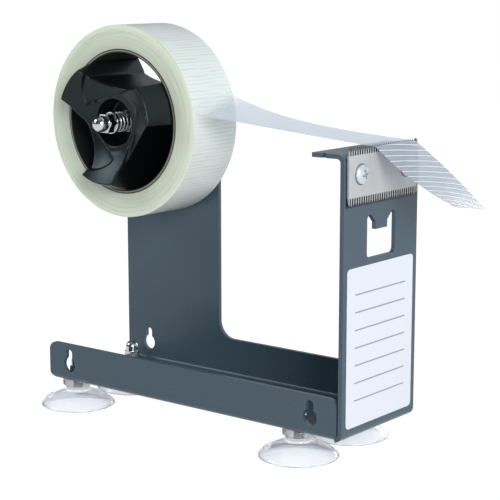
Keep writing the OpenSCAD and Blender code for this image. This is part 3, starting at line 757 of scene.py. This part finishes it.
class DISPENSER_OT_stage(DispenserOperator, Operator):
    """Makes the floor, the lamps, the room and the camera"""

    bl_idname = "dispenser.stage"
    bl_label = "Stage"

    # The camera: its place in metres, its dip and turn in degrees, its lens in millimetres
    camera_place = (0.508146, -0.6363, 0.2461)
    camera_dip = 10.72
    camera_turn = 38.28
    sensor = 36
    focal = 110.93
    shift = (-0.00614, 0.023)

    # The floor: its width, and the shares of it that glow for all rays and, on top, for some
    floor_width = 14
    floor_gap = 0.2 * MM
    glow = 0.25
    glow_seen = 0.57
    glow_through = 0.49
    glow_mirrored = 0.27
    glow_strength = 1.19

    # The middle of the bright part of the room
    bright_way = (0.42, 0.88, 0.22)
    bright_tint = (0.9, 0.96, 1.0)

    # Each lamp's place, width and colour; its power is a setting
    white = (1.0, 1.0, 1.0)
    lamps = {
        "key": ((1.52, -0.97, 0.75), 0.9, white),
        "top": ((-0.1, -0.35, 1.5), 1.1, white),
        "side": ((-1.17, -0.85, 1.0), 0.65, (0.84, 0.95, 1.0)),
        "front": ((0.5, -2.0, 0.4), 0.8, white),
        "back": ((-0.2, 2.1, 0.4), 1.0, white),
    }
    lamp_aim = (0, 0, 0.11)

    def execute(self, context):
        own = setting("stage")
        self.lens()
        self.ground(own)
        self.room(own)
        for name, (place, width, colour) in self.lamps.items():
            self.lamp(name + "_lamp", place, width, getattr(own, name), colour)
        bpy.context.scene.view_settings.view_transform = "Standard"
        return {"FINISHED"}

    def lens(self):
        """The camera, where the photograph was taken."""
        turn = (math.radians(90 - self.camera_dip), 0, math.radians(self.camera_turn))
        bpy.ops.object.camera_add(location=self.camera_place, rotation=turn)
        camera = bpy.context.object
        camera.name = "camera"
        camera.data.sensor_width = self.sensor
        camera.data.lens = self.focal
        camera.data.shift_x, camera.data.shift_y = self.shift
        camera.data.clip_start = 0.01
        bpy.context.scene.camera = camera

    def ground(self, own):
        """A pale floor that is white to the camera and keeps the dispenser's shadow."""
        place = (0, 0, -self.floor_gap)
        size = self.floor_width
        bpy.ops.mesh.primitive_grid_add(x_subdivisions=8, y_subdivisions=8, size=size, location=place)
        floor = bpy.context.object
        floor.name = "floor"
        paint = Paint(bpy.data.materials.new("floor_white"))
        path = paint.node("LightPath", out="Is Camera Ray")
        through = path.out("Is Transmission Ray")
        mirrored = path.out("Is Glossy Ray")
        seen = self.glow + path * self.glow_seen + through * self.glow_through + mirrored * self.glow_mirrored
        matt = paint.node("BsdfDiffuse", None, {"Color": (*own.floor, 1)})
        glow = paint.node("Emission", None, {"Color": (1, 1, 1, 1), "Strength": self.glow_strength})
        shade = paint.node("MixShader", None, {0: seen, 1: matt, 2: glow})
        paint.node("OutputMaterial", None, {"Surface": shade})
        floor.data.materials.append(paint.owner)

    def room(self, own):
        """A room that is white to the camera, and lights the dispenser more from behind than in front."""
        world = bpy.data.worlds.new("white_room")
        bpy.context.scene.world = world
        paint = Paint(world)
        way = paint.node("TexCoord", out="Generated")
        product = {"operation": "DOT_PRODUCT"}
        behind = paint.node("VectorMath", product, {0: way, 1: self.bright_way}, out="Value")
        light = own.dim + (own.surround - own.dim) * behind.step(0.15, 0.85)
        path = paint.node("LightPath", out="Is Camera Ray")
        sharp = path.out("Is Transmission Ray") * (0.6 + 0.4 * behind.step(-0.35, 0.1))
        seen = path.math("MAXIMUM", sharp)
        strength = seen + (1 - seen) * light
        colour = paint.mix(seen, self.bright_tint, self.white)
        room = paint.node("Background", None, {"Color": colour, "Strength": strength})
        paint.node("OutputWorld", None, {"Surface": room})

    def lamp(self, name, place, width, power, colour):
        """A square lamp aimed at the dispenser."""
        turn = (Vector(self.lamp_aim) - Vector(place)).to_track_quat("-Z", "Y").to_euler()
        bpy.ops.object.light_add(type="AREA", location=place, rotation=turn)
        lamp = bpy.context.object
        lamp.name = name
        lamp.data.shape = "SQUARE"
        lamp.data.size = width
        lamp.data.energy = power
        lamp.data.color = colour


class DISPENSER_OT_stand(DispenserOperator, Operator):
    """Makes the folded sheet stand with rounded edges and a powder coat"""

    bl_idname = "dispenser.stand"
    bl_label = "Stand"

    def execute(self, context):
        edge = setting("stand").edge
        round_off("frame", "folded_stand", edge, powder_coat(), "stand", "frame_coat")
        return {"FINISHED"}


class DISPENSER_OT_hub(DispenserOperator, Operator):
    """Makes the moulded hub with its three wings"""

    bl_idname = "dispenser.hub"
    bl_label = "Hub"

    def execute(self, context):
        own = setting("hub")
        piece = copy_of("core_hub", "winged_hub")
        modify(piece, "REMESH", mode="VOXEL", voxel_size=own.grid, adaptivity=0)
        modify(piece, "SMOOTH", factor=0.5, iterations=own.passes)
        self.ream(piece, own.bore)
        smooth(piece, 60)
        set_up(piece, moulded_plastic(), "roll", "hub_plastic", "core_hub")
        return {"FINISHED"}

    def ream(self, piece, radius):
        """Opens the rounded-off bore again, so that it runs clear of the spindle."""
        for point in piece.data.vertices:
            off = Vector((point.co.x - AXLE.x, 0, point.co.z - AXLE.z))
            if off.length < radius:
                point.co += off.normalized() * (radius - off.length)


class DISPENSER_OT_roll(DispenserOperator, Operator):
    """Makes the paper core and the tape wound on it"""

    bl_idname = "dispenser.roll"
    bl_label = "Roll"

    core_edge = 0.25 * MM
    core_gap = 0.05 * MM
    sides = 180

    def execute(self, context):
        round_off("tape_core", "paper_core", self.core_edge, core_board(), "roll", "core_paper")
        set_up(self.wound(), wound_film(), "roll", "tape_film", "tape_roll")
        return {"FINISHED"}

    def wound(self):
        """The wound tape: a turned ring whose sides show its turns."""
        inner = CORE_R + self.core_gap
        width = ROLL_HIGH.y - ROLL_LOW.y
        back = self.side_line(inner, setting("tape").rings)
        front = [(r, width - d) for r, d in reversed(back)]
        middle = [(inner, width / 2)]
        piece = turned("wound_tape", middle + back + front + middle, self.sides)
        self.open_bore(piece)
        smooth(piece, 50)
        settle(piece, (AXLE.x, ROLL_HIGH.y, AXLE.z), TO_FRONT)
        return piece

    def side_line(self, inner, rings):
        """(radius, depth) stations across one side, from the bore to the rim."""
        line = [(inner, 0.12 * MM)]
        step = (ROLL_R - inner) / rings
        for i in range(rings):
            low = 0.05 + 0.05 * math.sin(i * 2.4) * math.sin(i * 0.7 + 1)
            line.append((inner + step * (i + 0.12), low * MM))
            line.append((inner + step * (i + 0.75), 0.0))
        line[-1] = (ROLL_R - 0.3 * MM, 0.02 * MM)
        line.append((ROLL_R - 0.08 * MM, 0.1 * MM))
        line.append((ROLL_R, 0.32 * MM))
        return line

    def open_bore(self, piece):
        """Joins the two ends of the turned line, so that the ring has no caps."""
        edit(piece, "FACE")
        bpy.ops.mesh.select_all(action="DESELECT")
        close()
        for face in piece.data.polygons:
            face.select = len(face.vertices) > 4
        bpy.ops.object.mode_set(mode="EDIT")
        bpy.ops.mesh.delete(type="FACE")
        bpy.ops.mesh.select_all(action="SELECT")
        bpy.ops.mesh.remove_doubles(threshold=WELD)
        face_outwards()
        close()


class DISPENSER_OT_free_tape(DispenserOperator, Operator):
    """Makes the tape's free length, from the roll over the cutter to the tail"""

    bl_idname = "dispenser.free_tape"
    bl_label = "Free tape"

    # The film across, in millimetres, and the share of its crown that the tail keeps
    start_y = -11.1
    drift = 2.0
    width = 36.0
    crown = 0.45
    tail_crown = 0.6

    # The route of its edges, in millimetres, degrees and shares of the free span
    near_leave = 10.5
    far_leave = 17.5
    lap = 2.0
    roll_gap = 0.25
    peel_r = 3.0
    span_angle = 15
    span_gap = 0.6
    span_slope = (0.26, -0.1)
    first_pull = (0.26, -0.094)
    last_pull = (0.6, 2.2)
    near_lift = 1.5
    pressed = 1.0
    bend_r = 2.5
    tail_len = 52.0
    near_slope = (38.0, 20.0)
    far_slope = (33.0, 41.0)

    # Points along each stretch of the route, and rows across
    lap_count = 10
    peel_count = 10
    sag_count = 48
    bend_count = 8
    tail_count = 24
    lead_count = lap_count + peel_count
    crown_count = 12
    over_count = 30
    rows = 13

    def execute(self, context):
        own = setting("tape")
        near, far = self.edges()
        middle = [(Vector(a) + Vector(b)) / 2 for a, b in zip(near, far)]
        run = [0.0]
        for a, b in zip(middle, middle[1:]):
            run.append(run[-1] + (b - a).length)
        length = run[-1]
        piece = self.strip(near, far, run)
        modify(piece, "SOLIDIFY", thickness=own.thickness, offset=0)
        smooth(piece, 40)
        set_up(piece, free_film(length), "stand", "tape_film", "tape_web")
        return {"FINISHED"}

    def edges(self):
        """Points of the near and the far edge, in metres."""
        near_line = self.route(self.near_leave, self.near_lift, self.near_slope)
        far_line = self.route(self.far_leave, 0.0, self.far_slope)
        near, far = [], []
        for i, ((near_x, near_z), (far_x, far_z)) in enumerate(zip(near_line, far_line)):
            shift = self.drift * min(1.0, max(0.0, (i - self.lead_count) / self.sag_count))
            y = (self.start_y + shift) * MM
            near.append((near_x, y, near_z))
            far.append((far_x, y + self.width * MM, far_z))
        return near, far

    def route(self, leave, lift, slope):
        """(x, z) points of one edge: a lap on the roll, the peel, the sag, the bend and the tail."""
        r = ROLL_R + self.roll_gap * MM
        points = []
        for i in range(self.lap_count):
            angle = math.radians(leave + self.lap * (1 - i / (self.lap_count - 1)))
            points.append((AXLE.x + r * math.cos(angle), AXLE.z + r * math.sin(angle)))
        heading = math.radians(leave - 90)
        ahead = math.atan2(self.span_slope[1], self.span_slope[0])
        x, z = points[-1]
        for i in range(1, self.peel_count + 1):
            now = heading + (ahead - heading) * i / self.peel_count
            step_x = -math.sin(heading) + math.sin(now)
            step_z = math.cos(heading) - math.cos(now)
            points.append((x + self.peel_r * MM * step_x, z + self.peel_r * MM * step_z))
        points += self.sag(points[-1], lift * MM)
        x, z = points[-1]
        bend = self.bend_r * MM
        for i in range(1, self.bend_count + 1):
            angle = math.radians(slope[0]) * i / self.bend_count
            points.append((x + bend * math.sin(angle), z + bend * (math.cos(angle) - 1)))
        x, z = points[-1]
        step = self.tail_len * MM / self.tail_count
        for i in range(self.tail_count):
            angle = math.radians(slope[0] + (slope[1] - slope[0]) * i / (self.tail_count - 1))
            x += step * math.cos(angle)
            z -= step * math.sin(angle)
            points.append((x, z))
        return points

    def sag(self, start, lift):
        """The free span: one cubic curve from the peel to the cutter's teeth."""
        first = Vector(start)
        end = Vector((BLADE_HIGH.x, BLADE_HIGH.z - self.pressed * MM))
        angle = math.radians(self.span_angle)
        out = Vector((math.cos(angle), math.sin(angle)))
        hold = Vector((AXLE.x, AXLE.z)) + (ROLL_R + self.span_gap * MM) * out
        span = end.x - hold.x
        reach, height = self.last_pull
        second = hold + span * Vector(self.first_pull) + Vector((0, lift))
        third = Vector((hold.x + span * reach, end.y + height * MM + lift))
        line = []
        for i in range(1, self.sag_count + 1):
            t = i / self.sag_count
            s = 1 - t
            line.append(tuple(s**3 * first + 3 * t * s**2 * second + 3 * t * t * s * third + t**3 * end))
        return line

    def strip(self, near, far, run):
        """A grid laid between the two edges, with its map in shares of length and width."""
        deselect()
        last = len(near) - 1
        bpy.ops.mesh.primitive_grid_add(x_subdivisions=last, y_subdivisions=self.rows - 1, size=1)
        piece = named(bpy.context.object, "free_tape")
        shares = {}
        for vertex in piece.data.vertices:
            column = round((vertex.co.x + 0.5) * last)
            across = vertex.co.y + 0.5
            point = Vector(near[column]).lerp(Vector(far[column]), across)
            free = min(1.0, max(0.0, (column - self.lead_count) / self.crown_count))
            crown = 4 * across * (1 - across) * self.crown * MM * free
            is_span = column < len(near) - self.over_count
            vertex.co = point + Vector((0, 0, -crown if is_span else crown * self.tail_crown))
            shares[vertex.index] = (run[column] / run[-1], across)
        layer = piece.data.uv_layers.active
        for loop in piece.data.loops:
            layer.data[loop.index].uv = shares[loop.vertex_index]
        return piece


class DISPENSER_OT_spindle(DispenserOperator, Operator):
    """Makes the spindle bolt, its nut and its washers"""

    bl_idname = "dispenser.spindle"
    bl_label = "Spindle"

    head = 4 * MM
    head_flats = 10 * MM
    head_edge = 0.5 * MM
    rod_r = 3 * MM
    pitch = 1.0 * MM
    thread_depth = 0.4 * MM
    rod_start = 0.4 * MM
    rod_sides = 40

    def execute(self, context):
        for node in ("spindle_washer", "spindle_jam_nut", "thrust_washer"):
            plate(node)
        low, high = corners("spindle_bolt")
        length = high.y - low.y - self.head
        stations = threads(length, self.rod_start, self.rod_r, self.pitch, self.thread_depth)
        rod = turned("spindle_rod", stations, self.rod_sides)
        settle(rod, (AXLE.x, high.y - self.head, AXLE.z), TO_FRONT)
        deselect()
        radius = self.head_flats / math.sqrt(3)
        bpy.ops.mesh.primitive_cylinder_add(vertices=6, radius=radius, depth=self.head)
        cap = bpy.context.object
        settle(cap, (AXLE.x, high.y - self.head / 2, AXLE.z), TO_FRONT)
        soften(cap, self.head_edge, segments=3)
        smooth(rod, 50)
        bolt = join("spindle_bolt_plated", rod, cap)
        set_up(bolt, bright_zinc(), "stand", "zinc", "spindle_bolt")
        return {"FINISHED"}


class DISPENSER_OT_brake(DispenserOperator, Operator):
    """Makes the spring brake on the spindle"""

    bl_idname = "dispenser.brake"
    bl_label = "Brake"

    wire_r = 0.6 * MM
    coil_r = 5.1 * MM
    wire_sides = 14
    turn_steps = 36
    weld = 0.004 * MM

    def execute(self, context):
        plate("brake_washer_inner", "roll")
        plate("brake_washer_outer", "brake_slider")
        plate("brake_dome_nut", "brake_knob")
        spring = self.spring()
        set_up(spring, drawn_wire(), "stand", "spring_steel", "brake_spring")
        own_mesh(spring)
        return {"FINISHED"}

    def spring(self):
        """A round-wire spring with a closed turn at each end."""
        closed = 2.1 * self.wire_r
        active = SPRING_HIGH.y - SPRING_LOW.y - 2 * self.wire_r - 2 * closed
        start = self.wire_r
        turns = []
        for count, rise in ((1, closed), (3, active), (1, closed)):
            deselect()
            bpy.ops.mesh.primitive_circle_add(vertices=self.wire_sides, radius=self.wire_r)
            turn = bpy.context.object
            settle(turn, (self.coil_r, 0, start), TO_FRONT)
            steps = self.turn_steps * count
            modify(
                turn, "SCREW", axis="Z", angle=2 * math.pi * count, screw_offset=rise, steps=steps,
                render_steps=steps, iterations=1, use_merge_vertices=False
            )
            turns.append(turn)
            start += rise
        spring = join("brake_spring_wire", *turns)
        edit(spring)
        bpy.ops.mesh.remove_doubles(threshold=self.weld)
        bpy.ops.mesh.select_all(action="DESELECT")
        bpy.ops.mesh.select_non_manifold(extend=False)
        bpy.ops.mesh.edge_face_add()
        face_outwards()
        close()
        settle(spring, (AXLE.x, SPRING_HIGH.y, AXLE.z), TO_FRONT)
        smooth(spring, 60)
        return spring


class DISPENSER_OT_cutter(DispenserOperator, Operator):
    """Makes the toothed blade and what holds it to the post"""

    bl_idname = "dispenser.cutter"
    bl_label = "Cutter"

    cad_root = 2.8 * MM
    ground_off = 0.75 * MM

    def execute(self, context):
        blade = copy_of("cutter_blade", "toothed_blade")
        self.grind(blade)
        set_up(blade, brushed_steel(), "stand", "blade_steel", "cutter_blade")
        for node in ("blade_screws", "blade_washers", "blade_nuts"):
            plate(node, finish=satin_zinc)
        return {"FINISHED"}

    def grind(self, blade):
        """Cuts the roots of the teeth deeper and grinds the teeth thin from behind."""
        flatten(blade)
        for vertex in blade.data.vertices:
            for rim, way in ((BLADE_LOW.z, 1), (BLADE_HIGH.z, -1)):
                if abs(vertex.co.z - rim - way * self.cad_root) < 0.05 * MM:
                    vertex.co.z = rim + way * TOOTH_ROOT
        for height in (BLADE_LOW.z + TOOTH_ROOT, BLADE_HIGH.z - TOOTH_ROOT):
            edit(blade)
            bpy.ops.mesh.bisect(plane_co=(0, 0, height), plane_no=(0, 0, 1))
            close()
        for vertex in blade.data.vertices:
            past = max(vertex.co.z - BLADE_HIGH.z + TOOTH_ROOT, BLADE_LOW.z + TOOTH_ROOT - vertex.co.z, 0)
            if vertex.co.x < BLADE_LOW.x + 0.1 * MM:
                vertex.co.x += self.ground_off * min(1.0, past / TOOTH_ROOT)
        smooth(blade, 12)


class DISPENSER_OT_label(DispenserOperator, Operator):
    """Makes the blank label on the post"""

    bl_idname = "dispenser.label"
    bl_label = "Label"

    edge = 0.08 * MM

    def execute(self, context):
        round_off("blank_label", "write_on_label", self.edge, sticker_paper(), "stand", "label_paper")
        return {"FINISHED"}


class DISPENSER_OT_feet(DispenserOperator, Operator):
    """Makes the four suction cups and what holds them to the base"""

    bl_idname = "dispenser.feet"
    bl_label = "Feet"

    # A cup's (radius, height) stations, in millimetres: its hollow and rim, then its neck and socket
    hollow = ((0.3, 5.0), (5.0, 4.72), (10.0, 3.75), (14.5, 2.3), (18.0, 0.85), (19.5, 0.12), (20.0, 0.0))
    rim = ((20.9, 0.0), (21.1, 0.3), (21.0, 0.75))
    neck = ((7.2, 8.4), (7.0, 9.1), (6.95, 10.4), (7.1, 11.0), (7.5, 11.4), (8.2, 11.6), (8.5, 12.0))
    collar = ((8.6, 13.2), (8.5, 14.4), (8.2, 14.85), (7.8, 15.0))
    socket = ((2.7, 15.0), (2.56, 14.9), (2.56, 10.1), (2.4, 10.0), (0.3, 10.0))

    # The ball that its back is part of, from the rim to the neck
    rim_r = 21.1
    neck_r = 7.7
    ball_r = 31.2
    ball_top = 9.0
    ball_count = 10

    # The loop on its back, in millimetres and degrees
    tab_reach = 16.5
    tab_height = 4.35
    tab_r = 2.2
    tab_wire_r = 0.62
    tab_stretch = 1.3
    tab_turn = 218

    stud_r = 2.48 * MM
    stud_sides = 32

    def execute(self, context):
        pattern = self.cup()
        for place in CUPS:
            cup = pattern.copy()
            cup.data = pattern.data.copy()
            named(cup, "clear_cup_" + place)
            bpy.context.scene.collection.objects.link(cup)
            settle(cup, (*self.middle(place), 0))
            set_up(cup, soft_vinyl(), "stand", "clear_vinyl", "suction_cup_" + place)
        bpy.data.objects.remove(pattern)
        for node in ("cup_washers", "cup_dome_nuts"):
            plate(node)
        set_up(self.studs(), bright_zinc(), "stand", "zinc", "cup_studs")
        return {"FINISHED"}

    def middle(self, place):
        """Where a cup's axis stands."""
        low, high = corners("suction_cup_" + place)
        return (low.x + high.x) / 2, (low.y + high.y) / 2

    def cup(self):
        """One clear cup standing on the origin."""
        back = []
        for i in range(1, self.ball_count + 1):
            r = self.rim_r + (self.neck_r - self.rim_r) * i / self.ball_count
            back.append((r, self.ball_top - self.ball_r + math.sqrt(self.ball_r * self.ball_r - r * r)))
        line = (*self.hollow, *self.rim, *back, *self.neck, *self.collar, *self.socket)
        cup = turned("clear_cup", [(r * MM, z * MM) for r, z in line], setting("feet").sides)
        tab = self.tab()
        modify(cup, "BOOLEAN", operation="UNION", object=tab)
        bpy.data.objects.remove(tab)
        smooth(cup, 40)
        return cup

    def tab(self):
        """The small loop by which a cup is peeled off."""
        deselect()
        bpy.ops.mesh.primitive_torus_add(
            major_segments=40, minor_segments=12,
            major_radius=self.tab_r * MM, minor_radius=self.tab_wire_r * MM
        )
        tab = bpy.context.object
        tab.scale = (1.0, self.tab_stretch, 1.0)
        settle(tab)
        lean = math.asin(self.tab_reach / self.ball_r)
        settle(tab, (self.tab_reach * MM, 0, self.tab_height * MM), (0, lean, 0))
        settle(tab, (0, 0, 0), (0, 0, math.radians(self.tab_turn)))
        return tab

    def studs(self):
        """The threaded studs that hold the cups."""
        low, high = corners("cup_studs")
        stations = threads(high.z - low.z, 0.0, self.stud_r)
        rods = []
        for place in CUPS:
            rod = turned("stud", stations, self.stud_sides)
            settle(rod, (*self.middle(place), low.z))
            smooth(rod, 50)
            rods.append(rod)
        return join("cup_studs_plated", *rods)


class DISPENSER_PT_panel(Panel):
    """The dispenser's settings and pieces"""

    bl_label = "Tape dispenser"
    bl_idname = "DISPENSER_PT_panel"
    bl_space_type = "VIEW_3D"
    bl_region_type = "UI"
    bl_category = "Dispenser"

    def draw(self, context):
        for name, group in SETTINGS.items():
            box = self.layout.box()
            box.label(text=group.__doc__)
            for key in group.__annotations__:
                box.prop(setting(name), key)
        for operator in OPERATORS:
            self.layout.operator(operator.bl_idname)


OPERATORS = (
    DISPENSER_OT_stage,
    DISPENSER_OT_stand,
    DISPENSER_OT_hub,
    DISPENSER_OT_roll,
    DISPENSER_OT_free_tape,
    DISPENSER_OT_spindle,
    DISPENSER_OT_brake,
    DISPENSER_OT_cutter,
    DISPENSER_OT_label,
    DISPENSER_OT_feet,
)
CLASSES = (*SETTINGS.values(), *OPERATORS, DISPENSER_PT_panel)


def register():
    for cls in CLASSES:
        bpy.utils.register_class(cls)
    for name, group in SETTINGS.items():
        setattr(Scene, PREFIX + name, PointerProperty(type=group))


def unregister():
    for name in SETTINGS:
        delattr(Scene, PREFIX + name)
    for cls in reversed(CLASSES):
        bpy.utils.unregister_class(cls)


def main():
    """Makes every piece."""
    register()
    deselect()
    for operator in OPERATORS:
        group, name = operator.bl_idname.split(".")
        getattr(getattr(bpy.ops, group), name)()


if __name__ == "__main__":
    main()
